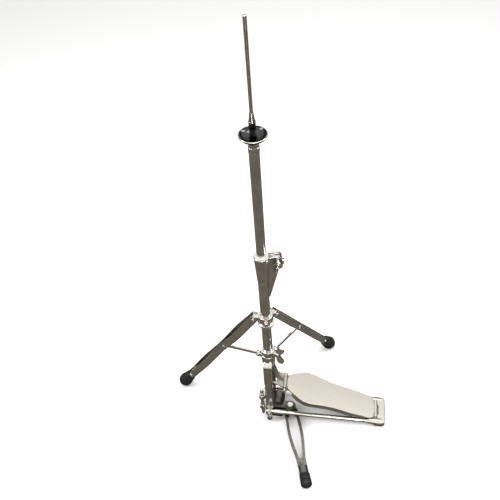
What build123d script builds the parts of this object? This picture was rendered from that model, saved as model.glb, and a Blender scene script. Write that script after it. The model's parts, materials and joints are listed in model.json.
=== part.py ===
from build123d import *
import math
import os

# Hi-hat stand without cymbals: origin on the pole axis at floor level, +X towards the heel of
# the pedal, +Z up. Lengths are in millimetres and angles in degrees.

os.makedirs("parts", exist_ok=True)

# ---- driving dimensions ---------------------------------------------------------------------
FIT = 0.05                    # radial clearance of a running fit
GAP = 0.4                     # clearance between parts that move past each other

ROD_TOP = 1054.0              # top of the pull rod, the highest point
ROD_R = 3.0                   # 6 mm pull rod, full size above the seat sleeve
ROD_NECK_R = 2.7              # the same rod inside the sleeve and the tubes
LOWER_ROD_R = 4.0             # 8 mm lower pull rod inside the tubes
ROD_JOINT_Z = 480.0           # where the upper rod screws into the lower one

LOWER_TUBE_R = 11.1           # 22.2 mm tube
LOWER_TUBE_BORE = 9.9
LOWER_TUBE_Z = (200.0, 552.0)
UPPER_TUBE_R = 9.525          # 19.05 mm tube
UPPER_TUBE_BORE = 8.3
UPPER_TUBE_Z = (410.0, 822.0)

SEAT_FOOT_Z = 835.0           # underside of the cymbal seat
SEAT_R = 24.8
SLEEVE_R = 6.0                # where the cymbal is centred
SLEEVE_FOOT_R = 5.5           # below the cymbal
SLEEVE_Z = (848.0, 875.0, 891.0)    # start of the full width, shoulder and top
TILT_SCREW_ANGLE = 100.0
TILT_SCREW_R = 15.0

CLAMP_Z = (488.0, 559.0)
CLAMP_ANGLE = 15.0            # direction of the split ear
CLAMP_BOLT = (31.5, 546.0)    # radius and height of the clamp bolt

COLLAR_Z = (344.0, 372.0)     # fixed leg collar
LEG_ANGLES = {"left": 170.0, "right": 55.0}
LEG_PIVOT = (27.0, 355.0)     # radius and height of the leg hinge
LEG_SPREAD = 31.8             # leg from the vertical
BRACE_ON_LEG = 160.0          # leg hinge to brace rivet
BRACE_PIVOT_R = 24.0          # radius of the brace hinge on the sliding collar
COLLAR_BOLT = (-20.0, 18.0)   # direction of the collar bolt and its height above the braces
STRIP_T = 1.6
STRIP_DEPTH = 18.0
FOOT_R = 17.6
FOOT_MOUTH_R = 14.0
FOOT_Z = 17.0                 # middle of each rubber foot, which is worn flat underneath
LEG_LENGTH = (LEG_PIVOT[1] - FOOT_Z) / math.cos(math.radians(LEG_SPREAD))

HEEL_HINGE = (262.0, 18.0)    # x and z of the footboard hinge
TOE_AXLE = (37.3, 112.0)      # x and z of the toe axle, pedal up
LINK_PIN = (8.8, 192.0)       # x and z of the upper link pin, pedal up
HEEL_HALF_WIDTH = 37.0
TOE_PLATE_SLOPE = 33.0        # toe plate of the link from level
WEB_HALF = 3.2                # half the thickness of its upright web

YOKE_INNER = 22.0             # half the space between the yoke legs
YOKE_OUTER = 31.0
YOKE_HALF_WIDTH = 10.0
YOKE_TOP_Z = 209.5
FERRULE_STEPS = ((11, 13, 7.0), (13, 34, 6.4), (34, 36, 7.0))    # along X, with the radius
PAD_T = 3.0                   # rubber under the base and the heel
RODS_Y = (36.0, 29.0)         # radius rods at the yoke and at the heel
RODS_X = (-7.0, 276.0)
RODS_Z = (26.0, 11.0)
RADIUS_ROD_R = 5.2

FRONT_PIVOT = (50.0, -16.0)   # swivel bolt of the front leg
FRONT_ANGLE = -74.0
FRONT_LENGTH = 192.0
FRONT_Z = (5.0, 15.0)         # lower and upper edge of the front leg
FRONT_FOOT_R = 13.2

SPUR_XY = (1.0, 47.0)
SPIKE_XY = (-16.5, -33.0)
SPIKE_R = 4.6
SPIKE_TOP_Z = 120.0
SPIKE_BOSSES_Z = (40.0, 84.0)

UP = (Align.CENTER, Align.CENTER, Align.MIN)


# ---- helpers ----------------------------------------------------------------------------------
def post(radius, z0, z1, x=0.0, y=0.0):
    """Upright cylinder between two heights."""
    return Pos(x, y, z0) * Cylinder(radius, z1 - z0, align=UP)


def tube(outer, inner, z0, z1):
    """Upright tube on the pole axis."""
    return post(outer, z0, z1) - post(inner, z0 - 1, z1 + 1)


def bar(start, end, radius):
    """Round bar between two points."""
    run = Vector(*end) - Vector(*start)
    return Plane(origin=start, z_dir=run) * Cylinder(radius, run.length, align=UP)


def pin(radius, y0, y1, x, z):
    """Cylinder along Y."""
    return bar((x, y0, z), (x, y1, z), radius)


def block(x, y, z):
    """Box from three (low, high) pairs."""
    size = [high - low for low, high in (x, y, z)]
    middle = [(high + low) / 2 for low, high in (x, y, z)]
    return Pos(*middle) * Box(*size)


def turned(points):
    """Solid of revolution about the pole axis from (radius, height) corners."""
    return revolve(Plane.XZ * make_face(Polyline(*points, close=True)), Axis.Z)


def slot(x0, x1, width):
    """Flat outline with round ends along X, reaching from x0 to x1."""
    return Pos((x0 + x1) / 2, 0) * SlotOverall(x1 - x0, width)


def around(angle, shape):
    """Turn a shape about the pole axis."""
    return Rot(0, 0, angle) * shape


def save(name, *shapes):
    """Write one node as one STEP file."""
    solids = [solid for shape in shapes for solid in shape.solids()]
    node = solids[0] if len(solids) == 1 else Compound(children=solids)
    node.label = name
    export_step(node, f"parts/{name}.step")


# ---- pole and pull rod ------------------------------------------------------------------------
def make_tubes():
    """The two telescoping tubes and the ferrule crimped on the upper one."""
    save("lower_tube", tube(LOWER_TUBE_R, LOWER_TUBE_BORE, *LOWER_TUBE_Z))
    save("upper_tube", tube(UPPER_TUBE_R, UPPER_TUBE_BORE, *UPPER_TUBE_Z))
    top = UPPER_TUBE_Z[1]
    skirt = tube(UPPER_TUBE_R + 0.5, UPPER_TUBE_R, top - 7, top)
    crown = post(UPPER_TUBE_R + 0.5, top, top + 3)
    crown += extrude(Pos(0, 0, top + 3) * RegularPolygon(9.4, 8, major_radius=True), 7)
    reach = TILT_SCREW_R + 4
    lug = extrude(Pos(0, 0, top + 5) * slot(-6, reach, 8), 5)
    cap = skirt + crown + around(TILT_SCREW_ANGLE, lug - post(2 + FIT, top, top + 20, TILT_SCREW_R))
    save("tube_cap", cap - post(SLEEVE_FOOT_R, top - 1, top + 12))


def make_seat():
    """Dished cymbal seat, its washer, tilt screw and the sleeve that guides the pull rod."""
    top = UPPER_TUBE_Z[1]
    full, shoulder, tip = SLEEVE_Z
    sleeve = turned([
        (0, top - 6), (SLEEVE_FOOT_R, top - 6), (SLEEVE_FOOT_R, full), (SLEEVE_R, full),
        (SLEEVE_R, shoulder), (3.9, tip), (0, tip),
    ])
    save("seat_sleeve", sleeve - post(ROD_R + 0.35, top - 10, tip + 5))
    save("seat_washer", tube(7.0, SLEEVE_FOOT_R, top + 10, top + 11.7))

    under = Spline((10.8, 0), (13.5, 3.4), (19.5, 7.2), (SEAT_R - 0.4, 12.2))
    bead = ThreePointArc((SEAT_R - 0.4, 12.2), (SEAT_R, 14.2), (SEAT_R - 1.6, 14.9))
    bowl = Spline((SEAT_R - 1.6, 14.9), (SEAT_R - 3.2, 12.6), (16.0, 8.9), (7.4, 7.0))
    hole = Polyline((7.4, 7.0), (7.4, 0), (10.8, 0))
    dish = revolve(Plane.XZ * make_face([under, bead, bowl, hole]), Axis.Z)
    save("cymbal_seat", Pos(0, 0, SEAT_FOOT_Z) * dish)

    screw = post(2.0, top - 4, top + 13.5) + Pos(0, 0, top + 13.5) * Cone(2.0, 0.8, 3.2, align=UP)
    screw += post(4.0, top - 10, top - 3) + post(3.0, top - 3, top + 4.6)
    save("tilt_screw", around(TILT_SCREW_ANGLE, Pos(TILT_SCREW_R, 0, 0) * screw))


def make_pull_rod():
    """Upper and lower rods, their lock nut, the spring collar and the fork that carries the link."""
    full_z = SLEEVE_Z[2] + 2
    free_end = fillet(post(ROD_R, full_z, ROD_TOP).edges().group_by(Axis.Z)[-1], 1.6)
    save("pull_rod_upper", free_end + post(ROD_NECK_R, ROD_JOINT_Z, full_z))
    pin_x, pin_z = LINK_PIN
    lower = post(LOWER_ROD_R, pin_z - 4, ROD_JOINT_Z + 14)
    lower -= post(ROD_NECK_R, ROD_JOINT_Z, ROD_JOINT_Z + 20)
    save("pull_rod_lower", lower)
    nut = extrude(Pos(0, 0, ROD_JOINT_Z + 14) * RegularPolygon(5.6, 6), 5) - post(ROD_NECK_R, 480, 510)
    save("rod_lock_nut", nut)
    save("spring_collar", tube(8.6, LOWER_ROD_R, 306, 312) + tube(5.6, LOWER_ROD_R, 312, 322))

    cheek_in, cheek_out = 6.4, 10.0
    fork = block((-6, 3.6), (-cheek_out, cheek_out), (pin_z - 7, pin_z + 4.8))
    for side in (-1, 1):
        y = sorted((side * cheek_in, side * cheek_out))
        fork += block((-6, pin_x), y, (pin_z - 7, pin_z + 4.8))
        fork += pin(5.0, y[0], y[1], pin_x, pin_z - 0.6)
    fork = fork - post(LOWER_ROD_R, pin_z - 4, pin_z + 9) - pin(2.5, -20, 20, pin_x, pin_z)
    save("rod_fork", fork)
    link_pin = pin(2.5, -11.5, 11.5, pin_x, pin_z) + pin(3.6, -13, -11.5, pin_x, pin_z)
    save("link_pin", link_pin + pin(3.6, 10.0, 11.5, pin_x, pin_z))


def make_spring():
    """Return spring round the lower rod, between a seat pressed into the tube and the collar."""
    seat_top, spring_top = 232.0, 306.0
    wire, turns = 0.8, 9
    save("spring_seat", tube(LOWER_TUBE_BORE, LOWER_ROD_R + 0.4, seat_top - 6, seat_top))
    height = spring_top - seat_top - 2 * wire
    path = Pos(0, 0, seat_top + wire) * Helix(pitch=height / turns, height=height, radius=6.9)
    section = Plane(origin=path @ 0, z_dir=path % 0) * Circle(wire)
    save("return_spring", sweep(section, path=path, is_frenet=True))


# ---- height clamp -----------------------------------------------------------------------------
def wing(side, span, height):
    """Outline of one wing, a round lobe joined to the hub by a narrower neck."""
    lobe = Pos(side * (span / 2 - height / 2), height * 0.72) * Circle(height / 2)
    root = Pos(side * 3, height * 0.3) * Circle(height * 0.3)
    return make_hull(lobe.edges() + root.edges())


def wing_head(span, hub_r, hub_h, thickness, height):
    """Hub and two wings about Z, with the seat face at z = 0 and the wings along X."""
    head = Cylinder(hub_r, hub_h, align=UP)
    for side in (-1, 1):
        head += extrude(Plane.XZ * wing(side, span, height), thickness / 2, both=True)
    head += Pos(0, 0, hub_h) * Cone(hub_r, hub_r * 0.7, 2, align=UP)
    return head - Pos(0, 0, -50) * Cylinder(100, 50, align=UP)


def make_height_clamp():
    """Split casting on the lower tube with a nylon bushing, its bolt and its wing nut."""
    low, top = CLAMP_Z
    bolt_r, bolt_z = CLAMP_BOLT
    ear_z = (522.0, 557.0)
    body = turned([
        (0, low), (LOWER_TUBE_R + 0.9, low), (LOWER_TUBE_R + 2.2, low + 24), (15.4, top - 12),
        (16.0, top - 7), (16.0, top - 1.5), (14.8, top), (0, top),
    ])
    ear_outline = Plane.XZ * (Pos(24, sum(ear_z) / 2) * RectangleRounded(34, ear_z[1] - ear_z[0], 9))
    body += extrude(ear_outline, 8, both=True)
    rib = make_face(Polyline((8, 438), (12.6, 438), (35, 526), (8, 526), close=True))
    body += extrude(Plane.XZ * rib, 5.5, both=True)
    body += post(5.0, 545, 562, 19.5)
    body -= block((9, 60), (-1.1, 1.1), (506, top + 12))
    body = body - post(LOWER_TUBE_R, 400, LOWER_TUBE_Z[1]) - post(11.4, LOWER_TUBE_Z[1] - 1, top + 1)
    body = body - post(13.7, top, top + 20) - pin(3.0, -30, 30, bolt_r, bolt_z)
    save("height_clamp", around(CLAMP_ANGLE, body))

    inside = UPPER_TUBE_R + FIT
    flange = turned([(0, top), (13.5, top), (13.5, top + 3), (12.0, top + 5), (0, top + 5)])
    skirt = post(11.4, LOWER_TUBE_Z[1], top)
    save("clamp_bushing", flange + skirt - post(inside, 500, 600))

    bolt = pin(3.0, -22, 12, bolt_r, bolt_z) + pin(6.0, 8, 12, bolt_r, bolt_z)
    save("clamp_bolt", around(CLAMP_ANGLE, bolt))
    nut = wing_head(38, 6.6, 8, 4.4, 15) - Cylinder(3.0 + FIT, 60)
    nut = Pos(bolt_r, -8 - GAP, bolt_z) * Rot(90, 0, 0) * Rot(0, 0, 60) * nut
    save("clamp_wing_nut", around(CLAMP_ANGLE, nut))


# ---- folding legs -----------------------------------------------------------------------------
def leg_plane():
    """Leg frame in the radial plane: X down the leg, Y across it, Z outwards from it."""
    lean = math.radians(LEG_SPREAD)
    return Plane(
        origin=(LEG_PIVOT[0], 0, LEG_PIVOT[1]),
        x_dir=(math.sin(lean), 0, -math.cos(lean)),
        z_dir=(math.cos(lean), 0, math.sin(lean)),
    )


def channel(route, depth, ends, lip=4.2):
    """Pressed strip with a lip along both edges, following a plan route of inner-face points."""
    straight = ((1, 0), (1, 0))
    middle = Spline(*[(s, t + STRIP_T / 2) for s, t in route], tangents=straight)
    web = extrude(trace(middle, STRIP_T), depth / 2, both=True)
    lip_width = lip - STRIP_T / 2
    outer = Spline(*[(s, t + (lip + STRIP_T / 2) / 2) for s, t in route], tangents=straight)
    edge = extrude(trace(outer, lip_width), STRIP_T / 2, both=True)
    for side in (-1, 1):
        web += Pos(0, 0, side * (depth - STRIP_T) / 2) * edge
    rounded = extrude(Plane.XZ * slot(ends[0], ends[1], depth), 60, both=True)
    return web & rounded


def leg_strips():
    """The two mirrored strips of a leg, waisted at the brace rivet and at the foot."""
    waist, ends = BRACE_ON_LEG, (-8.5, 370.0)
    route = [(ends[0], 5.4), (10, 5.4), (82, 10.4), (waist, 3.6), (250, 9.0), (342, 5.0), (ends[1], 5.0)]
    strip = channel(route, STRIP_DEPTH, ends)
    strip = strip - Rot(90, 0, 0) * Cylinder(3.0 + FIT, 60)
    strip = strip - Pos(waist, 0, 0) * Rot(90, 0, 0) * Cylinder(2.5, 60)
    strip = strip - Pos(356, 0, 0) * Rot(90, 0, 0) * Cylinder(2.5, 60)
    return strip, mirror(strip, Plane.XZ)


def rivet_heads(s, inner):
    """Rivet heads on the outside of both strips, with shanks no longer than the strip is thick."""
    shanks = Pos(s, 0, 0) * Rot(90, 0, 0) * Cylinder(2.5, 2 * (inner + STRIP_T + 0.5))
    heads = Pos(s, 0, 0) * Rot(90, 0, 0) * Cylinder(4.6, 2 * (inner + STRIP_T + 2.0))
    core = Pos(s, 0, 0) * Rot(90, 0, 0) * Cylinder(9, 2 * (inner + STRIP_T + 0.15))
    gap = Pos(s, 0, 0) * Rot(90, 0, 0) * Cylinder(9, 2 * inner)
    return (heads - core) + (shanks - gap)


def rubber_boot(centre_s, mouth_s):
    """Boot on the leg axis: a cone from its mouth to a ball-shaped end."""
    ball = Pos(centre_s, 0, 0) * Sphere(FOOT_R)
    cone = Cone(FOOT_MOUTH_R, FOOT_R - 0.5, centre_s - mouth_s - 4, align=UP)
    return ball + Pos(mouth_s, 0, 0) * Rot(0, 90, 0) * cone


def make_leg(side):
    """One hinged leg with its rivets, foot socket and rubber foot."""
    place = Rot(0, 0, LEG_ANGLES[side]) * leg_plane().location
    first, second = leg_strips()
    save(f"{side}_leg_strip_front", place * (first if side == "left" else second))
    save(f"{side}_leg_strip_rear", place * (second if side == "left" else first))

    foot_rivet = Pos(356, 0, 0) * Rot(90, 0, 0) * Cylinder(2.5, 13.2)
    foot_heads = Pos(356, 0, 0) * Rot(90, 0, 0) * (Cylinder(4.6, 17) - Cylinder(9, 13.2))
    save(f"{side}_leg_rivets", place * rivet_heads(BRACE_ON_LEG, 3.6), place * (foot_rivet + foot_heads))

    tongue = Pos(343, 0, 0) * Rot(0, 90, 0) * Box(12, 9.4, 30, align=UP)
    flange = Pos(371, 0, 0) * Rot(0, 90, 0) * Cylinder(10.5, 3, align=UP)
    stem = Pos(374, 0, 0) * Rot(0, 90, 0) * Cylinder(5, 20, align=UP)
    hole = Pos(356, 0, 0) * Rot(90, 0, 0) * Cylinder(2.5, 60)
    save(f"{side}_foot_socket", place * (tongue + flange + stem - hole))

    pocket = Pos(364, 0, 0) * Rot(0, 90, 0) * Cylinder(12.0, 10, align=UP)
    foot = rubber_boot(LEG_LENGTH, 367) - stem - pocket
    floor = block((-500, 500), (-500, 500), (-100, 0))
    save(f"{side}_foot", place * foot - floor)


def brace_ends():
    """Both ends of a brace in its radial plane: on the sliding collar and on the leg."""
    lean = math.radians(LEG_SPREAD)
    r_leg = LEG_PIVOT[0] + BRACE_ON_LEG * math.sin(lean)
    z_leg = LEG_PIVOT[1] - BRACE_ON_LEG * math.cos(lean)
    return BRACE_PIVOT_R, r_leg, z_leg


def make_brace(side):
    """Flat strut from the sliding collar to the waist of the leg, level when the legs are open."""
    r_in, r_out, z = brace_ends()
    outline = slot(r_in - 4.5, r_out + 4.5, 9)
    strut = Pos(0, 0, z) * extrude(Plane.XZ * outline, 1.5, both=True)
    strut = strut - pin(2.5 + FIT, -9, 9, r_in, z) - pin(2.5, -9, 9, r_out, z)
    save(f"{side}_brace", around(LEG_ANGLES[side], strut))


def make_leg_collar():
    """Fixed collar with a lug for each leg, the leg hinge pins and the set screw."""
    low, high = COLLAR_Z
    r, z = LEG_PIVOT
    body = post(15.6, low, high) + post(18.2, low, low + 5)
    for angle in LEG_ANGLES.values():
        lug = block((10, r), (-5, 5), (z - 6.5, z + 6.5)) + pin(6.5, -5, 5, r, z)
        body += around(angle, lug - pin(3.0, -20, 20, r, z))
    body += around(-80, Pos(0, 0, 0) * bar((12, 0, 361), (19, 0, 361), 6.2))
    body = body - post(LOWER_TUBE_R, low - 1, high + 1)
    save("leg_collar", body - around(-80, bar((5, 0, 361), (30, 0, 361), 2.5)))

    screw = bar((LOWER_TUBE_R + 0.2, 0, 361), (19, 0, 361), 2.5) + bar((19, 0, 361), (22.5, 0, 361), 4.8)
    save("collar_screw", around(-80, screw))
    pins = []
    for angle in LEG_ANGLES.values():
        shank = pin(3.0, -10.4, 10.4, r, z)
        heads = pin(5.2, 10.4, 12.4, r, z) + pin(5.2, -12.4, -10.4, r, z)
        pins.append(around(angle, shank + heads))
    save("leg_hinge_pins", *pins)


def make_brace_collar():
    """Sliding collar with a fork for each brace, the brace pins and the wing bolt."""
    r, _, z = brace_ends()
    bolt_angle, lift = COLLAR_BOLT
    bolt_z = z + lift
    body = post(16.4, z - 8.5, z + 8.5) + post(15.2, z + 8.5, bolt_z + 8)
    for angle in LEG_ANGLES.values():
        fork = block((10, r), (-5.4, 5.4), (z - 5.5, z + 5.5)) + pin(5.5, -5.4, 5.4, r, z)
        fork = fork - block((r - 7, r + 9), (-1.9, 1.9), (z - 9, z + 9)) - pin(2.5, -20, 20, r, z)
        body += around(angle, fork)
    body += around(bolt_angle, bar((12, 0, bolt_z), (20, 0, bolt_z), 6.6))
    body = body - post(LOWER_TUBE_R + FIT, z - 20, bolt_z + 20)
    for angle in LEG_ANGLES.values():
        body -= around(angle, block((r - 7, r + 9), (-1.9, 1.9), (z - 9, z + 9)))
    save("brace_collar", body - around(bolt_angle, bar((5, 0, bolt_z), (40, 0, bolt_z), 3.0 + FIT)))

    head = Pos(20 + GAP, 0, bolt_z) * Rot(0, 90, 0) * Rot(0, 0, -4) * wing_head(54, 7.0, 8, 4.6, 17)
    shank = bar((LOWER_TUBE_R + GAP, 0, bolt_z), (22, 0, bolt_z), 3.0)
    save("collar_wing_bolt", around(bolt_angle, head + shank))
    pins = []
    for angle in LEG_ANGLES.values():
        heads = pin(4.2, 5.4, 6.9, r, z) + pin(4.2, -6.9, -5.4, r, z)
        pins.append(around(angle, pin(2.5, -5.4, 5.4, r, z) + heads))
    save("brace_pins", *pins)


# ---- base -------------------------------------------------------------------------------------
def make_yoke():
    """Arched yoke under the tube, with sockets for the radius rods and the floor spikes."""
    outer = Pos(0, YOKE_TOP_Z / 2 - 10) * Rectangle(2 * YOKE_OUTER, YOKE_TOP_Z + 20)
    outer = fillet(outer.vertices().group_by(Axis.Y)[-1], 22)
    inner = Pos(0, 88.5) * Rectangle(2 * YOKE_INNER, 217)
    inner = fillet(inner.vertices().group_by(Axis.Y)[-1], 14)
    arch = extrude(Plane.YZ * (outer - inner), YOKE_HALF_WIDTH, both=True)
    plan = RectangleRounded(2 * YOKE_HALF_WIDTH, 2 * YOKE_OUTER, 3.5)
    arch = arch & Pos(0, 0, PAD_T) * extrude(plan, 300)
    arch += post(15.4, 197, YOKE_TOP_Z)
    arch = arch - post(LOWER_TUBE_R, LOWER_TUBE_Z[0], 300) - post(LOWER_ROD_R + 0.6, 150, 300)
    for side in (-1, 1):
        y, z = side * RODS_Y[0], RODS_Z[0]
        socket = block((-9, 5), sorted((side * 29, y)), (z - 7.5, z + 7.5))
        socket += bar((-9, y, z), (5, y, z), 7.5)
        socket += post(6.4, 12, 27, SPUR_XY[0], side * SPUR_XY[1])
        arch += socket - post(3.4 + FIT, 0, 60, SPUR_XY[0], side * SPUR_XY[1])
        arch -= radius_rod(side)
        arch -= bar((0, side * 20, 9.5), (0, side * 40, 9.5), 2.5)
    x, y = SPIKE_XY
    for low in SPIKE_BOSSES_Z:
        boss = post(SPIKE_R + 3, low, low + 14, x, y) + block((x, -6), (y, -24), (low, low + 14))
        arch += boss - post(SPIKE_R + FIT, 0, 150, x, y)
    save("base_yoke", arch)


def radius_rod(side, radius=RADIUS_ROD_R):
    """Straight rod from the yoke down to the heel plate."""
    start, end = [(x, side * y, z) for x, y, z in zip(RODS_X, RODS_Y, RODS_Z)]
    return bar(start, end, radius)


def rod_ferrule(side):
    """Stepped sleeve round a radius rod next to the yoke."""
    steps = []
    for x0, x1, radius in FERRULE_STEPS:
        steps.append(radius_rod(side, radius) & block((x0, x1), (-60, 60), (0, 60)))
    return steps[0] + steps[1] + steps[2] - radius_rod(side)


def make_base():
    """Floor casting inside the yoke, its screws, rubber pad, radius rods, spurs and spike."""
    slab = block((-13, 31), (-YOKE_INNER, YOKE_INNER), (PAD_T, 16))
    hump = pin(13, -12, YOKE_INNER, 19, 21) + block((6, 32), (-12, YOKE_INNER), (10, 21))
    x, y = FRONT_PIVOT
    nose = post(13.5, FRONT_Z[1] + GAP, 27, x, y) + block((10, x), (y - 6, y + 13), (FRONT_Z[1] + GAP, 25))
    casting = slab + hump + nose - post(4.0, 0, 60, x, y)
    for side in (-1, 1):
        casting -= bar((0, side * 10, 9.5), (0, side * 40, 9.5), 2.5)
    save("base_casting", casting)
    screws = []
    for side in (-1, 1):
        shank = bar((0, side * 12, 9.5), (0, side * YOKE_OUTER, 9.5), 2.5)
        screws.append(shank + bar((0, side * YOKE_OUTER, 9.5), (0, side * (YOKE_OUTER + 3), 9.5), 4.5))
    save("yoke_screws", *screws)
    pad = extrude(RectangleRounded(43, 66, 5), PAD_T)
    save("base_pad", Pos(10.5, 0, 0) * pad)
    save("radius_rod_near", radius_rod(-1))
    save("radius_rod_far", radius_rod(1))
    save("rod_ferrules", rod_ferrule(-1), rod_ferrule(1))

    for side, name in ((-1, "spur_near"), (1, "spur_far")):
        x, y = SPUR_XY[0], side * SPUR_XY[1]
        spur = post(3.4, 8, 37, x, y) + Pos(x, y, 1.5) * Cone(0.8, 3.4, 6.5, align=UP)
        save(name, spur + post(4.8, 37, 42, x, y))
    x, y = SPIKE_XY
    spike = post(SPIKE_R, 18, SPIKE_TOP_Z, x, y) + Pos(x, y, 6) * Cone(0.8, SPIKE_R, 12, align=UP)
    save("anchor_spike", chamfer(spike.edges().group_by(Axis.Z)[-1], 1.2))


def make_heel():
    """Heel plate with its hinge lugs, hinge pin, rubber pad, rod sleeves and screws."""
    x, z = HEEL_HINGE
    outline = Pos(271, 0) * RectangleRounded(29, 2 * HEEL_HALF_WIDTH, 7)
    plate = extrude(Pos(0, 0, PAD_T) * outline, 13.4)
    plate = fillet(plate.edges().group_by(Axis.Z)[-1], 3)
    for side in (-1, 1):
        plate += pin(5.6, *sorted((side * 13, side * 23)), x, z)
        plate += block((x - 5.6, x + 5.6), sorted((side * 13, side * 23)), (PAD_T, z))
    plate -= block((x - 12, x + 8), (-13, 13), (PAD_T + 2.5, 40))
    for side in (-1, 1):
        start = Vector(RODS_X[0], side * RODS_Y[0], RODS_Z[0])
        end = Vector(RODS_X[1], side * RODS_Y[1], RODS_Z[1])
        near_end = end + (start - end).normalized() * 34
        plate += bar(near_end, end, 7.4) & block((200, 285), (-60, 60), (PAD_T, 60))
        plate -= radius_rod(side)
    save("heel_plate", plate - pin(2.5, -23.2, 24.2, x, z) - pin(3.8, -26, -23.2, x, z))
    save("heel_pad", Pos(271, 0, 0) * extrude(RectangleRounded(27, 2 * HEEL_HALF_WIDTH - 2, 6), PAD_T))
    save("heel_pin", pin(2.5, -23.2, 24.2, x, z) + pin(3.8, -24.5, -23.2, x, z))


# ---- pedal ------------------------------------------------------------------------------------
def board_plane():
    """Footboard frame on the heel hinge: X up the board to the toe, Z out of its top."""
    (hx, hz), (tx, tz) = HEEL_HINGE, TOE_AXLE
    return Plane(origin=(hx, 0, hz), x_dir=(tx - hx, 0, tz - hz), z_dir=(tz - hz, 0, hx - tx))


def board_length():
    """Heel hinge to toe axle."""
    return math.dist(HEEL_HINGE, TOE_AXLE)


def board_side(inset=0.0):
    """One long edge of the footboard, from the heel corner past the ball of the foot to the toe."""
    length = board_length()
    points = [(1, 21.5), (6, 23.5), (12, 28.5), (24, 31), (62, 33.4), (112, 33.8), (158, 39.6)]
    points += [(190, 41.6), (214, 32), (length - 6.6, 18)]
    return [(s, w - inset) for s, w in points]


def board_outline(inset=0.0):
    """Flat outline of the footboard, narrowed all round by inset."""
    side = board_side(inset)
    far = Spline(*side)
    near = Spline(*[(s, -w) for s, w in side])
    heel = Line(near @ 0, far @ 0)
    toe = Line(near @ 1, far @ 1)
    return make_face([far, near, heel, toe])


def make_footboard():
    """Cast footboard: a plate with a turned-down rim, a heel knuckle and a toe knuckle."""
    length = board_length()
    plate = extrude(Pos(0, 0, -1) * board_outline(), 4)
    rim = extrude(Pos(0, 0, -7) * (board_outline() - board_outline(2.6)), 7)
    rim = rim & block((30, length - 22), (-60, 60), (-20, 20))
    flange = extrude(Pos(0, 0, -12) * (board_outline() - board_outline(2.6)), 12)
    rim += flange & block((58, length - 26), (-60, 60), (-20, 20))
    heel = Rot(90, 0, 0) * Cylinder(5.6, 25.2) + block((0, 16), (-12.6, 12.6), (-1, 3))
    toe = Pos(length, 0, 0) * Rot(90, 0, 0) * Cylinder(5.6, 23.2)
    toe += block((length - 16, length), (-11.6, 11.6), (-3, 3))
    board = plate + rim + heel + toe
    for side in (-1, 1):
        board -= pin(6.4, *sorted((side * 12.6, side * 25)), 0, 0)
    board = board - Rot(90, 0, 0) * Cylinder(2.5 + FIT, 80)
    board = board - Pos(length, 0, 0) * Rot(90, 0, 0) * Cylinder(3.0, 80)
    save("footboard", board_plane() * board)
    x, z = TOE_AXLE
    axle = pin(3.0, -24.5, 20.5, x, z) + pin(5.0, -29, -24.5, x, z) + pin(4.6, 20.5, 22.5, x, z)
    save("toe_axle", axle)


def make_toe_link():
    """Cast link: a horned toe plate on the axle and an upright web up to the fork of the rod."""
    (tx, tz), (px, pz) = TOE_AXLE, LINK_PIN
    left = Spline((px - 3.4, pz - 4), (5.0, 172), (7.8, 159), (13, 140), (17, 127))
    right = Spline((tx - 2, tz + 3), (27, 130), (21, 151), (17.3, 168), (px + 4.2, pz - 4))
    web = make_face([left, Line(left @ 1, right @ 0), right, Line(right @ 1, left @ 0)])
    link = extrude(Plane.XZ * web, WEB_HALF, both=True) + pin(4.2, -5.8, 5.8, px, pz)

    reach, horn, notch = 31.0, 35.0, 21.5
    edge = [Line((0, -18.6), (0, 18.6)), Line((0, 18.6), (reach, 18.6)), Line((reach, 18.6), (horn, 15.4))]
    edge += [ThreePointArc((horn, 15.4), (notch, 0), (horn, -15.4))]
    edge += [Line((horn, -15.4), (reach, -18.6)), Line((reach, -18.6), (0, -18.6))]
    slope = math.radians(TOE_PLATE_SLOPE)
    run = (-math.cos(slope), 0, math.sin(slope))
    frame = Plane(origin=(tx, 0, tz), x_dir=run, z_dir=(math.sin(slope), 0, math.cos(slope)))
    link += frame * extrude(make_face(edge), 1.9, both=True)
    link -= pin(6.5, -12.4, 12.4, tx, tz)
    for side in (-1, 1):
        link += pin(5.8, *sorted((side * 12.4, side * 18.6)), tx, tz)
    link = link - pin(3.9, -40, 40, tx, tz) - pin(2.5 + FIT, -40, 40, px, pz)
    save("toe_link", link)


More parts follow.
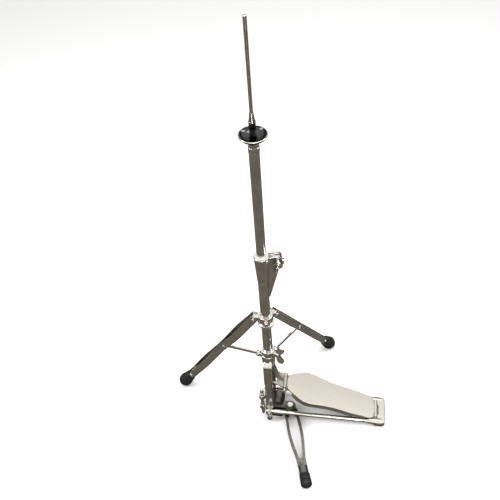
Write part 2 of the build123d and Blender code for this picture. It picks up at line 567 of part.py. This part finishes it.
# ---- front leg --------------------------------------------------------------------------------
def make_front_leg():
    """Low swivelling leg: hub, two strips, rivets, foot socket and rubber boot."""
    low, high = FRONT_Z
    middle = (low + high) / 2
    x, y = FRONT_PIVOT
    place = Pos(x, y, 0) * Rot(0, 0, FRONT_ANGLE)
    ends = (2.0, FRONT_LENGTH - 34)
    route = [(ends[0], 11), (22, 11), (62, 12.4), (112, 8.0), (140, 4.6), (ends[1], 4.6)]
    strip = Pos(0, 0, middle) * channel(route, high - low, ends, lip=6.0)
    holes = pin(2.5, -60, 60, 12, middle) + pin(2.5, -60, 60, ends[1] - 8, middle)
    strip -= holes
    save("front_leg_strip_left", place * mirror(strip, Plane.XZ))
    save("front_leg_strip_right", place * strip)

    hub = post(10.8, low, high) + block((0, 20), (-10.8, 10.8), (low, high))
    hub -= block((14, 22), (-7, 7), (0, 30))
    save("front_leg_hub", place * (hub - post(4.0 + FIT, 0, 40) - holes))

    rivets = []
    for s, inner in ((12, 11), (ends[1] - 8, 4.6)):
        half = inner + STRIP_T
        for side in (-1, 1):
            shank = pin(2.5, *sorted((side * (inner - 3), side * half)), s, middle)
            rivets.append(shank + pin(3.2, *sorted((side * (half + 0.1), side * (half + 1.8))), s, middle))
    save("front_leg_rivets", *[place * rivet for rivet in rivets])

    start, sleeve_end = ends[1] - 22, ends[1] + 20
    tongue = block((start, ends[1] + 1), (-4.5, 4.5), (low + 0.5, high - 0.5))
    sleeve = bar((ends[1], 0, FRONT_FOOT_R), (sleeve_end, 0, FRONT_FOOT_R), 10.8)
    stem = bar((sleeve_end, 0, FRONT_FOOT_R), (FRONT_LENGTH, 0, FRONT_FOOT_R), 5)
    save("front_foot_socket", place * (tongue + sleeve + stem - holes))
    boot = Rot(0, 90, 0) * Cylinder(FRONT_FOOT_R + 0.2, 32, align=UP)
    boot = Pos(FRONT_LENGTH - 16, 0, FRONT_FOOT_R) * boot
    boot = fillet(boot.edges().group_by(Axis.X)[-1], 8)
    boot = fillet(boot.edges().group_by(Axis.X)[0], 2)
    boot = boot - sleeve - stem - block((100, 300), (-90, 90), (-90, 0))
    save("front_foot", place * boot)

    head = extrude(Pos(x, y, 27) * RegularPolygon(7.5, 6), 5)
    save("front_leg_bolt", post(4.0, 4.6, 27, x, y) + head + post(8.5, PAD_T - 1, 4.6, x, y))


make_tubes()
make_seat()
make_pull_rod()
make_spring()
make_height_clamp()
make_leg_collar()
make_brace_collar()
for leg_side in LEG_ANGLES:
    make_leg(leg_side)
    make_brace(leg_side)
make_yoke()
make_base()
make_heel()
make_footboard()
make_toe_link()
make_front_leg()
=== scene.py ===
import json
import math

import bmesh
import bpy
from mathutils import Matrix, Vector


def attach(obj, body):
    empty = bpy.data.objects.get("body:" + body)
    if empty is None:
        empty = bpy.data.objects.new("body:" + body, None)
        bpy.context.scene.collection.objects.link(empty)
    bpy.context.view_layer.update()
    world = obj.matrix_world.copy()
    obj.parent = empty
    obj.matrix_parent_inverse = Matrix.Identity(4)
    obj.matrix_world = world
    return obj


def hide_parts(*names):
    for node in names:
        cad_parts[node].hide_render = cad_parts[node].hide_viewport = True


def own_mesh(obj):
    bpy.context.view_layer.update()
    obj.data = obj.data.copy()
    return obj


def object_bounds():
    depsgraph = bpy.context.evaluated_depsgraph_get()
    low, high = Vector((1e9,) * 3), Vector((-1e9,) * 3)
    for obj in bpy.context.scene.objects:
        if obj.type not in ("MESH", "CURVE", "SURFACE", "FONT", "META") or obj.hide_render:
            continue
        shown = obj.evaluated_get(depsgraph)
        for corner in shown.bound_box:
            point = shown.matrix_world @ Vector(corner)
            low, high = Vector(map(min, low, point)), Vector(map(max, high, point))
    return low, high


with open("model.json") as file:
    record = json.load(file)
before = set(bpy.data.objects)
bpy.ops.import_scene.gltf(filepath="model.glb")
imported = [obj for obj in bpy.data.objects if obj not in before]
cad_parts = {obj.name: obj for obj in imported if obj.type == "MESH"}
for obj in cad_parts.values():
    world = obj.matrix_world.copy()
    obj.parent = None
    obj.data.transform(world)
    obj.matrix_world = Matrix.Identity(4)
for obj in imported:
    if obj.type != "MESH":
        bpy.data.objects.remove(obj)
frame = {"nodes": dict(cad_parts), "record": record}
cad_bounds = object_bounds()

NODES = frame["nodes"]
MM = 0.001

# ---- view and studio --------------------------------------------------------------------------
CAMERA_AT = (0.1501, -0.8513, 1.4767)
HEADING, TILT_DOWN, ROLL = 11.4, 46.12, -5.04      # degrees
LENS = 46.33                                       # mm on a 36 mm sensor
MIDDLE = (0.0, 0.0, 0.5)                           # what the lights are aimed at
FLOOR_HALF = 6.0
FLOOR_GAP = 0.0002                                 # keeps the floor just below the rubber


def add_camera():
    """Camera that looks down at the stand from the left of the pedal, slightly rolled."""
    data = bpy.data.cameras.new("camera")
    data.lens = LENS
    data.sensor_width = 36.0
    data.clip_start = 0.02
    camera = bpy.data.objects.new("camera", data)
    bpy.context.scene.collection.objects.link(camera)
    turn = Matrix.Rotation(math.radians(HEADING), 4, "Z")
    tip = Matrix.Rotation(math.radians(90 - TILT_DOWN), 4, "X")
    roll = Matrix.Rotation(math.radians(ROLL), 4, "Z")
    camera.matrix_world = Matrix.Translation(CAMERA_AT) @ turn @ tip @ roll
    bpy.context.scene.camera = camera


def add_softbox(name, place, size, power):
    """Rectangular area light aimed at the middle of the stand."""
    data = bpy.data.lights.new(name, "AREA")
    data.shape = "RECTANGLE"
    data.size, data.size_y = size
    data.energy = power
    light = bpy.data.objects.new(name, data)
    bpy.context.scene.collection.objects.link(light)
    light.location = place
    aim = Vector(MIDDLE) - Vector(place)
    light.rotation_euler = aim.to_track_quat("-Z", "Y").to_euler()


class Nodes:
    """Short way to build a node tree: adds nodes, sets their inputs and links them."""

    def __init__(self, tree):
        self.tree = tree
        tree.nodes.clear()

    def add(self, kind, inputs=None, **settings):
        node = self.tree.nodes.new(kind)
        for key, value in settings.items():
            setattr(node, key, value)
        for key, value in (inputs or {}).items():
            if isinstance(value, bpy.types.NodeSocket):
                self.tree.links.new(value, node.inputs[key])
            else:
                node.inputs[key].default_value = value
        return node

    def math(self, operation, first, second):
        return self.add("ShaderNodeMath", {0: first, 1: second}, operation=operation).outputs[0]

    def ramp(self, factor, *stops):
        """Colour ramp from (position, grey or colour) stops."""
        node = self.add("ShaderNodeValToRGB", {0: factor})
        elements = node.color_ramp.elements
        while len(elements) < len(stops):
            elements.new(0.5)
        for element, (place, value) in zip(elements, stops):
            element.position = place
            shade = (value,) * 3 if isinstance(value, float) else value
            element.color = (*shade, 1.0)
        return node.outputs[0]

    def mix(self, factor, first, second):
        """Blend of two colours, given as sockets or as plain triples."""
        node = self.add("ShaderNodeMix", data_type="RGBA")
        for key, value in ((0, factor), (6, first), (7, second)):
            if isinstance(value, bpy.types.NodeSocket):
                self.tree.links.new(value, node.inputs[key])
            elif key == 0:
                node.inputs[key].default_value = value
            else:
                node.inputs[key].default_value = (*value, 1.0)
        return node.outputs[2]

    def noise(self, vector, scale, detail=3.0, roughness=0.5):
        settings = {"Vector": vector, "Scale": scale, "Detail": detail, "Roughness": roughness}
        return self.add("ShaderNodeTexNoise", settings).outputs["Fac"]


def add_floor():
    """Plain pale floor. Polished metal mirrors it in a dark taupe instead: a painted reflection, not a
    colour the floor has.
    """
    mesh = bpy.data.meshes.new("floor")
    half = FLOOR_HALF
    low = cad_bounds[0][2] - FLOOR_GAP
    mesh.from_pydata(
        [(-half, -half, low), (half, -half, low), (half, half, low), (-half, half, low)],
        [], [(0, 1, 2, 3)])
    floor = bpy.data.objects.new("floor", mesh)
    bpy.context.scene.collection.objects.link(floor)
    material = bpy.data.materials.new("floor")
    material.use_nodes = True
    t = Nodes(material.node_tree)
    path = t.add("ShaderNodeLightPath")
    # Pale to the camera and to light; dark taupe only in glossy rays, a painted reflection.
    color = t.mix(path.outputs["Is Glossy Ray"], (0.93, 0.925, 0.92), (0.10, 0.088, 0.072))
    shader = t.add("ShaderNodeBsdfPrincipled", {"Base Color": color, "Roughness": 0.9})
    t.add("ShaderNodeOutputMaterial", {"Surface": shader.outputs[0]})
    mesh.materials.append(material)


def add_world():
    """Soft even white surround. What polished metal mirrors is a painted reflection instead: dark below,
    a bright ceiling above.
    """
    world = bpy.data.worlds.new("studio")
    bpy.context.scene.world = world
    world.use_nodes = True
    t = Nodes(world.node_tree)
    path = t.add("ShaderNodeLightPath")
    direction = t.add("ShaderNodeTexCoord").outputs["Generated"]
    height = t.add("ShaderNodeSeparateXYZ", {0: direction}).outputs["Z"]
    # Painted reflection seen only by glossy rays: dark taupe below the horizon, a bright ceiling above.
    painted_reflection_room = t.mix(t.ramp(height, (0.30, 0.0), (0.62, 1.0)), (0.14, 0.127, 0.108), (1.9, 1.88, 1.84))
    color = t.mix(path.outputs["Is Glossy Ray"], (1.0, 1.0, 1.0), painted_reflection_room)
    shade = t.add("ShaderNodeBackground", {"Color": color, "Strength": 0.75})
    t.add("ShaderNodeOutputWorld", {"Surface": shade.outputs[0]})


def add_studio():
    """World, floor and four soft lights, each with its place, size in metres and watts."""
    add_world()
    add_floor()
    add_softbox("softbox_left", (-1.6, -0.5, 1.5), (0.5, 1.6), 26)
    add_softbox("softbox_right", (1.5, 0.4, 1.7), (0.4, 1.4), 20)
    add_softbox("softbox_top", (0.1, 0.3, 2.6), (1.0, 1.0), 22)
    add_softbox("strip_front", (0.5, -1.8, 0.9), (0.25, 1.6), 10)


# ---- materials --------------------------------------------------------------------------------
def start_material(name):
    """New material, its node builder and the object coordinates its patterns use."""
    material = bpy.data.materials.new(name)
    material.use_nodes = True
    t = Nodes(material.node_tree)
    vector = t.add("ShaderNodeTexCoord").outputs["Object"]
    return material, t, vector


def end_material(t, shader):
    t.add("ShaderNodeOutputMaterial", {"Surface": shader.outputs[0]})


def bump(t, height, distance, strength, normal):
    """Relief on top of another normal. The distance is in metres."""
    inputs = {"Height": height, "Distance": distance, "Strength": strength, "Normal": normal}
    return t.add("ShaderNodeBump", inputs).outputs[0]


def soft_edges(t, radius):
    """Normal that rounds every edge, with a radius in metres."""
    return t.add("ShaderNodeBevel", {"Radius": radius}, samples=4).outputs[0]


def chrome(name, bright, dull, rough, ripple, edge, ripple_scale, grain_scale):
    """Plated metal: finger marks and dust in its shine, a slight ripple and rounded edges."""
    material, t, vector = start_material(name)
    marks = t.noise(vector, 38.0, 5.0, 0.62)
    haze = t.noise(vector, 7.0, 3.0, 0.5)
    color = t.mix(t.ramp(marks, (0.38, 0.0), (0.72, 1.0)), bright, dull)
    base = t.ramp(marks, (0.35, rough), (0.62, rough * 1.7), (0.8, rough * 3.2))
    shine = t.math("ADD", base, t.math("MULTIPLY", t.ramp(haze, (0.45, 0.0), (0.8, 1.0)), rough * 1.2))
    stretched = t.add("ShaderNodeMapping", {"Vector": vector, "Scale": grain_scale})
    grain = t.noise(stretched.outputs[0], 1.0, 2.0)
    normal = soft_edges(t, edge)
    if ripple:
        normal = bump(t, t.noise(vector, ripple_scale, 2.0), 0.0012, ripple, normal)
    normal = bump(t, grain, 0.00003, 0.5, normal)
    shader = t.add("ShaderNodeBsdfPrincipled", {
        "Base Color": color, "Metallic": 1.0, "Roughness": shine, "Normal": normal,
    })
    end_material(t, shader)
    return material


def cast_aluminium(name):
    """Tumbled casting: warm satin grey, finer and brighter where shoes have rubbed it."""
    material, t, vector = start_material(name)
    cloud = t.noise(vector, 14.0, 4.0, 0.55)
    color = t.mix(t.ramp(cloud, (0.3, 0.0), (0.75, 1.0)), (0.47, 0.445, 0.40), (0.40, 0.375, 0.335))
    speck = t.noise(vector, 620.0, 2.0)
    color = t.mix(t.ramp(speck, (0.58, 0.0), (0.72, 0.35)), color, (0.32, 0.30, 0.265))
    rough = t.ramp(cloud, (0.3, 0.26), (0.75, 0.40))
    normal = bump(t, speck, 0.00009, 0.8, soft_edges(t, 0.0011))
    normal = bump(t, t.noise(vector, 60.0, 2.0), 0.0006, 0.25, normal)
    shader = t.add("ShaderNodeBsdfPrincipled", {
        "Base Color": color, "Metallic": 0.96, "Roughness": rough, "Normal": normal,
    })
    end_material(t, shader)
    return material


def rubber(name, tone, dust):
    """Moulded rubber with a fine matt grain and floor dust in it."""
    material, t, vector = start_material(name)
    cloud = t.noise(vector, 55.0, 4.0, 0.6)
    color = t.mix(t.ramp(cloud, (0.45, 0.0), (0.85, 0.5)), tone, dust)
    grain = t.noise(vector, 1500.0, 2.0)
    shader = t.add("ShaderNodeBsdfPrincipled", {
        "Base Color": color, "Roughness": t.ramp(cloud, (0.3, 0.42), (0.8, 0.62)),
        "Normal": bump(t, grain, 0.00012, 0.6, soft_edges(t, 0.0008)),
    })
    shader.inputs["Specular IOR Level"].default_value = 0.22
    end_material(t, shader)
    return material


def nylon(name):
    """Moulded white nylon, slightly translucent at its edges and handled grey in patches."""
    material, t, vector = start_material(name)
    cloud = t.noise(vector, 120.0, 3.0)
    color = t.mix(t.ramp(cloud, (0.5, 0.0), (0.9, 0.5)), (0.62, 0.61, 0.585), (0.48, 0.465, 0.435))
    shader = t.add("ShaderNodeBsdfPrincipled", {
        "Base Color": color, "Roughness": t.ramp(cloud, (0.3, 0.32), (0.8, 0.46)),
        "Normal": bump(t, t.noise(vector, 900.0), 0.00004, 0.5, soft_edges(t, 0.0006)),
    })
    shader.inputs["Subsurface Weight"].default_value = 0.08
    shader.inputs["Subsurface Scale"].default_value = 0.002
    end_material(t, shader)
    return material


# Plated finishes: bright and dull tone, roughness, ripple, edge radius in metres, ripple scale.
CHROMES = {
    "tube_chrome": ((0.66, 0.645, 0.62), (0.50, 0.485, 0.455), 0.055, 0.02, 0.0004, 160.0),
    "rod_chrome": ((0.70, 0.67, 0.62), (0.46, 0.42, 0.36), 0.11, 0.0, 0.0003, 160.0),
    "leg_chrome": ((0.66, 0.645, 0.62), (0.50, 0.485, 0.455), 0.09, 0.9, 0.0012, 48.0),
    "cast_chrome": ((0.64, 0.62, 0.59), (0.42, 0.40, 0.37), 0.11, 0.6, 0.0016, 90.0),
    # dark_chrome is a darkened copy of the plated finish; its dark tone is painted shade.
    "dark_chrome": ((0.13, 0.12, 0.105), (0.07, 0.065, 0.058), 0.20, 0.4, 0.0012, 90.0),
    "hardware_chrome": ((0.74, 0.73, 0.71), (0.52, 0.50, 0.47), 0.10, 0.06, 0.0005, 160.0),
    "black_chrome": ((0.055, 0.055, 0.058), (0.03, 0.03, 0.032), 0.13, 0.05, 0.0007, 160.0),
    "spring_steel": ((0.44, 0.44, 0.45), (0.28, 0.27, 0.26), 0.22, 0.0, 0.0002, 160.0),
}
DRAWN = (2600.0, 2600.0, 26.0)        # grain drawn out along a tube
EVEN = (900.0, 900.0, 900.0)


def make_materials():
    """Every material of the stand, by the name of its slot."""
    made = {}
    for name, (bright, dull, rough, ripple, edge, ripple_scale) in CHROMES.items():
        grain_scale = DRAWN if name == "tube_chrome" else EVEN
        made[name] = chrome(name, bright, dull, rough, ripple, edge, ripple_scale, grain_scale)
    made["cast_aluminium"] = cast_aluminium("cast_aluminium")
    made["white_nylon"] = nylon("white_nylon")
    made["black_rubber"] = rubber("black_rubber", (0.010, 0.010, 0.011), (0.04, 0.038, 0.035))
    return made


def dress_nodes(materials):
    """Give every CAD node the material of its slot."""
    for part in frame["record"]["subparts"]:
        node = NODES[part["node"]]
        node.data.materials.clear()
        node.data.materials.append(materials[part["material_slot"]])


# ---- detail pieces ----------------------------------------------------------------------------
# Dimensions are in millimetres, as on the drawing of the stand.
LEG_ANGLES = {"left": 170.0, "right": 55.0}
LEG_PIVOT = (27.0, 355.0)
LEG_SPREAD = 31.8
FOOT_Z = 17.0
LEG_LENGTH = (LEG_PIVOT[1] - FOOT_Z) / math.cos(math.radians(LEG_SPREAD))
FRONT_PIVOT = (50.0, -16.0)
FRONT_ANGLE = -74.0
FRONT_LENGTH = 192.0
FRONT_FOOT_R = 13.2
SPUR_XY = (1.0, 47.0)
SPIKE_XY = (-16.5, -33.0)
CLAMP_ANGLE = 15.0            # direction of the split ear
CLAMP_BOLT = (31.5, 546.0)    # radius and height of the clamp bolt
SLEEVE_BORE_R = 3.35          # the pull rod runs through it
WEAR_Z = 0.05                 # the boots are cut flat at this height
SMOOTH_ANGLE = 40.0           # degrees; sharper edges stay sharp
SIDES = 64


def make_object(name, bm):
    """Mesh object from a bmesh in millimetres."""
    bmesh.ops.remove_doubles(bm, verts=bm.verts, dist=0.0005)
    bmesh.ops.recalc_face_normals(bm, faces=bm.faces)
    bmesh.ops.scale(bm, vec=(MM, MM, MM), verts=bm.verts)
    mesh = bpy.data.meshes.new(name)
    bm.to_mesh(mesh)
    bm.free()
    piece = bpy.data.objects.new(name, mesh)
    bpy.context.scene.collection.objects.link(piece)
    return piece


def finish_piece(piece, slot_name, body, *nodes):
    """Material, shading, the body it rides and the CAD nodes it stands for."""
    piece.data.materials.append(MATERIALS[slot_name])
    for face in piece.data.polygons:
        face.use_smooth = True
    piece.data.set_sharp_from_angle(angle=math.radians(SMOOTH_ANGLE))
    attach(piece, body)
    if nodes:
        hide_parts(*nodes)


def skin(bm, rows):
    """Closed skin over rings of points, with a cap on the first and the last ring."""
    rings = [[bm.verts.new(point) for point in row] for row in rows]
    for low, high in zip(rings, rings[1:]):
        for i in range(len(low)):
            k = (i + 1) % len(low)
            bm.faces.new((low[i], low[k], high[k], high[i]))
    bm.faces.new(rings[0])
    bm.faces.new(rings[-1])


def ring(radius, height, wave=None):
    """One ring about Z. wave changes the radius with the angle, given in turns."""
    points = []
    for i in range(SIDES):
        turn = i / SIDES
        r = radius - (wave(turn) if wave else 0.0)
        points.append((r * math.cos(math.tau * turn), r * math.sin(math.tau * turn), height))
    return points


def lathe(bm, profile):
    """Solid of revolution about Z from (radius, height) corners."""
    skin(bm, [ring(radius, height) for radius, height in profile])


def lathe_hollow(bm, corners):
    """Ring-shaped solid of revolution about Z from a closed loop of (radius, height) corners."""
    rings = [[bm.verts.new(point) for point in ring(radius, height)] for radius, height in corners]
    for low, high in zip(rings, rings[1:] + rings[:1]):
        for i in range(SIDES):
            k = (i + 1) % SIDES
            bm.faces.new((low[i], low[k], high[k], high[i]))


def thread(bm, radius, z0, z1, pitch, depth):
    """Threaded shank: a helical groove that fades out at both ends."""
    rows = []
    count = max(2, round((z1 - z0) / pitch * 4))
    for j in range(count + 1):
        z = z0 + (z1 - z0) * j / count
        fade = min(1.0, 0.5 * min(j, count - j))

        def groove(turn, z=z, fade=fade):
            phase = (z / pitch - turn) % 1.0
            return depth * fade * abs(2.0 * phase - 1.0)

        rows.append(ring(radius, z, groove))
    skin(bm, rows)


def knurled(bm, radius, z0, z1, teeth, depth):
    """Disc with a fluted rim and chamfered edges."""
    def flute(turn):
        return depth * (0.5 + 0.5 * math.cos(math.tau * turn * teeth))

    rows = [ring(radius - 0.9, z0), ring(radius, z0 + 0.7, flute), ring(radius, z1 - 0.7, flute)]
    skin(bm, rows + [ring(radius - 0.9, z1), ring(radius - 2.2, z1)])


def wear_flat(bm):
    """Slice off what lies below the worn height and close the cut."""
    geometry = bm.verts[:] + bm.edges[:] + bm.faces[:]
    level = {"plane_co": (0, 0, WEAR_Z), "plane_no": (0, 0, 1)}
    cut = bmesh.ops.bisect_plane(bm, geom=geometry, clear_inner=True, **level)
    edges = [item for item in cut["geom_cut"] if isinstance(item, bmesh.types.BMEdge)]
    bmesh.ops.holes_fill(bm, edges=edges)


def leg_matrix(side):
    """Leg frame with Z down the leg, in millimetres."""
    lean = math.radians(LEG_SPREAD)
    down = Vector((math.sin(lean), 0.0, -math.cos(lean)))
    across = Vector((0.0, 1.0, 0.0))
    outward = across.cross(down)
    axes = Matrix((outward, across, down)).transposed().to_4x4()
    place = Matrix.Translation((LEG_PIVOT[0], 0.0, LEG_PIVOT[1])) @ axes
    return Matrix.Rotation(math.radians(LEG_ANGLES[side]), 4, "Z") @ place


def boot_profile(mouth, end, mouth_r, body_r, tip_r):
    """Rubber boot: rolled mouth, three grip grooves, a mould line and a rounded end."""
    profile = [(mouth_r - 1.6, mouth), (mouth_r - 0.3, mouth + 0.5), (mouth_r, mouth + 1.4)]
    profile += [(mouth_r, mouth + 2.6), (mouth_r - 0.7, mouth + 3.3)]
    span = end - tip_r - mouth
    for k in range(3):
        at = mouth + 3.6 + span * (0.10 + 0.22 * k)
        r = mouth_r - 0.5 + (body_r - mouth_r + 0.5) * (at - mouth) / span
        profile += [(r, at), (r - 0.9, at + 0.6), (r - 0.9, at + 1.4), (r + 0.15, at + 2.0)]
    centre = end - tip_r
    for k in range(13):
        angle = math.radians(90.0 * k / 12)
        r = body_r - tip_r + tip_r * math.cos(angle)
        profile.append((max(r, 0.4), centre + tip_r * math.sin(angle)))
    return profile


def make_boots():
    """Rubber boots of the two hinged legs and of the front leg, worn flat on the floor."""
    for side in LEG_ANGLES:
        bm = bmesh.new()
        lathe(bm, boot_profile(367.0, LEG_LENGTH + 17.4, 14.0, 17.4, 17.2))
        bmesh.ops.transform(bm, matrix=leg_matrix(side), verts=bm.verts)
        wear_flat(bm)
        finish_piece(make_object(f"{side}_boot", bm), "black_rubber", f"{side}_leg", f"{side}_foot")
    bm = bmesh.new()
    lathe(bm, boot_profile(-16.0, 16.0, 12.6, 13.3, 8.0))
    place = Matrix.Translation((FRONT_PIVOT[0], FRONT_PIVOT[1], FRONT_FOOT_R))
    place = place @ Matrix.Rotation(math.radians(FRONT_ANGLE), 4, "Z")
    place = place @ Matrix.Translation((FRONT_LENGTH, 0, 0)) @ Matrix.Rotation(math.radians(90), 4, "Y")
    bmesh.ops.transform(bm, matrix=place, verts=bm.verts)
    wear_flat(bm)
    finish_piece(make_object("front_boot", bm), "black_rubber", "front_leg", "front_foot")


def make_spikes():
    """Threaded spurs and anchor spike with turned points and fluted heads."""
    for side, name in ((-1, "spur_near"), (1, "spur_far")):
        bm = bmesh.new()
        lathe(bm, [(0.5, 1.5), (0.9, 1.9), (3.3, 8.0), (3.3, 9.5)])
        thread(bm, 3.4, 9.5, 37.0, 1.25, 0.55)
        knurled(bm, 4.8, 37.0, 42.0, 18, 0.45)
        bmesh.ops.translate(bm, vec=(SPUR_XY[0], side * SPUR_XY[1], 0), verts=bm.verts)
        finish_piece(make_object(f"{name}_threaded", bm), "hardware_chrome", name, name)
    bm = bmesh.new()
    lathe(bm, [(0.5, 6.0), (1.0, 6.5), (4.5, 18.0), (4.5, 20.0)])
    thread(bm, 4.6, 20.0, 104.0, 1.75, 0.7)
    lathe(bm, [(4.0, 104.0), (4.55, 104.8), (4.55, 118.6), (3.4, 120.0), (0.3, 120.0)])
    bmesh.ops.translate(bm, vec=(*SPIKE_XY, 0), verts=bm.verts)
    piece = make_object("anchor_spike_threaded", bm)
    finish_piece(piece, "hardware_chrome", "anchor_spike", "anchor_spike")


def make_clamp_bolt():
    """Carriage bolt of the height clamp, with a domed head and a threaded end."""
    bm = bmesh.new()
    thread(bm, 3.0, -22.0, -7.0, 1.0, 0.45)
    lathe(bm, [(2.98, -7.0), (2.98, 8.0)])
    dome = [(6.0, 8.0), (6.0, 8.8)]
    for k in range(1, 9):
        angle = math.radians(90.0 * k / 8)
        dome.append((max(6.0 * math.cos(angle), 0.3), 8.8 + 3.2 * math.sin(angle)))
    lathe(bm, dome)
    turn = Matrix.Rotation(math.radians(CLAMP_ANGLE), 4, "Z")
    place = Matrix.Translation((CLAMP_BOLT[0], 0.0, CLAMP_BOLT[1]))
    sideways = Matrix.Rotation(math.radians(-90), 4, "X")
    bmesh.ops.transform(bm, matrix=turn @ place @ sideways, verts=bm.verts)
    finish_piece(make_object("clamp_bolt_threaded", bm), "hardware_chrome", "stand", "clamp_bolt")


def make_seat_trim():
    """Dark sleeve and its plated shoulder and cone, both bored, and the rolled rim of the seat."""
    bore = SLEEVE_BORE_R
    bm = bmesh.new()
    lathe_hollow(bm, [(bore, 816.0), (5.45, 816.0), (5.45, 847.6), (5.95, 848.2), (5.95, 873.0),
                      (bore, 873.0)])
    finish_piece(make_object("sleeve_neck", bm), "black_chrome", "upper_tube", "seat_sleeve")
    bm = bmesh.new()
    lathe_hollow(bm, [(bore, 872.6), (5.8, 872.6), (6.1, 873.0), (6.1, 874.6), (5.5, 875.4),
                      (4.5, 883.0), (3.9, 890.2), (3.6, 891.0), (bore, 891.0)])
    finish_piece(make_object("sleeve_cone", bm), "rod_chrome", "upper_tube")
    bm = bmesh.new()
    angles = [math.tau * k / 12 for k in range(12)]
    lathe_hollow(bm, [(24.0 + math.cos(angle), 849.0 + math.sin(angle)) for angle in angles])
    finish_piece(make_object("seat_rim", bm), "hardware_chrome", "cymbal_seat")


def make_spring():
    """Return spring with closed end coils, built at its rest length. On the stand it shortens as the rod
    is pulled down.
    """
    low, high, wire, radius, turns, closed = 232.05, 305.95, 0.78, 6.9, 10, 1.0
    steps, around_wire = turns * 40, 10
    rise = high - low - 2 * wire
    open_pitch = (rise - 2 * closed * 2 * wire) / (turns - 2 * closed)
    rows = []
    for j in range(steps + 1):
        turn = turns * j / steps
        height = min(turn, closed) * 2 * wire + max(0.0, min(turn, turns - closed) - closed) * open_pitch
        height += max(0.0, turn - turns + closed) * 2 * wire
        out = Vector((math.cos(math.tau * turn), math.sin(math.tau * turn), 0.0))
        centre = out * radius + Vector((0.0, 0.0, low + wire + height))
        row = []
        for k in range(around_wire):
            angle = math.tau * k / around_wire
            row.append(centre + out * (wire * math.cos(angle)) + Vector((0, 0, wire * math.sin(angle))))
        rows.append(row)
    bm = bmesh.new()
    skin(bm, rows)
    piece = make_object("spring_coils", bm)
    finish_piece(piece, "spring_steel", "stand", "return_spring")
    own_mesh(piece)


def make_rod_end():
    """Threaded joint of the pull rod above its lock nut, seen when the tubes are apart."""
    bm = bmesh.new()
    thread(bm, 2.75, 500.0, 518.0, 1.0, 0.35)
    finish_piece(make_object("rod_joint_thread", bm), "hardware_chrome", "pull_rod")


add_camera()
add_studio()
MATERIALS = make_materials()
dress_nodes(MATERIALS)
make_boots()
make_spikes()
make_clamp_bolt()
make_seat_trim()
make_spring()
make_rod_end()
scene = bpy.context.scene
scene.view_settings.view_transform = "Standard"
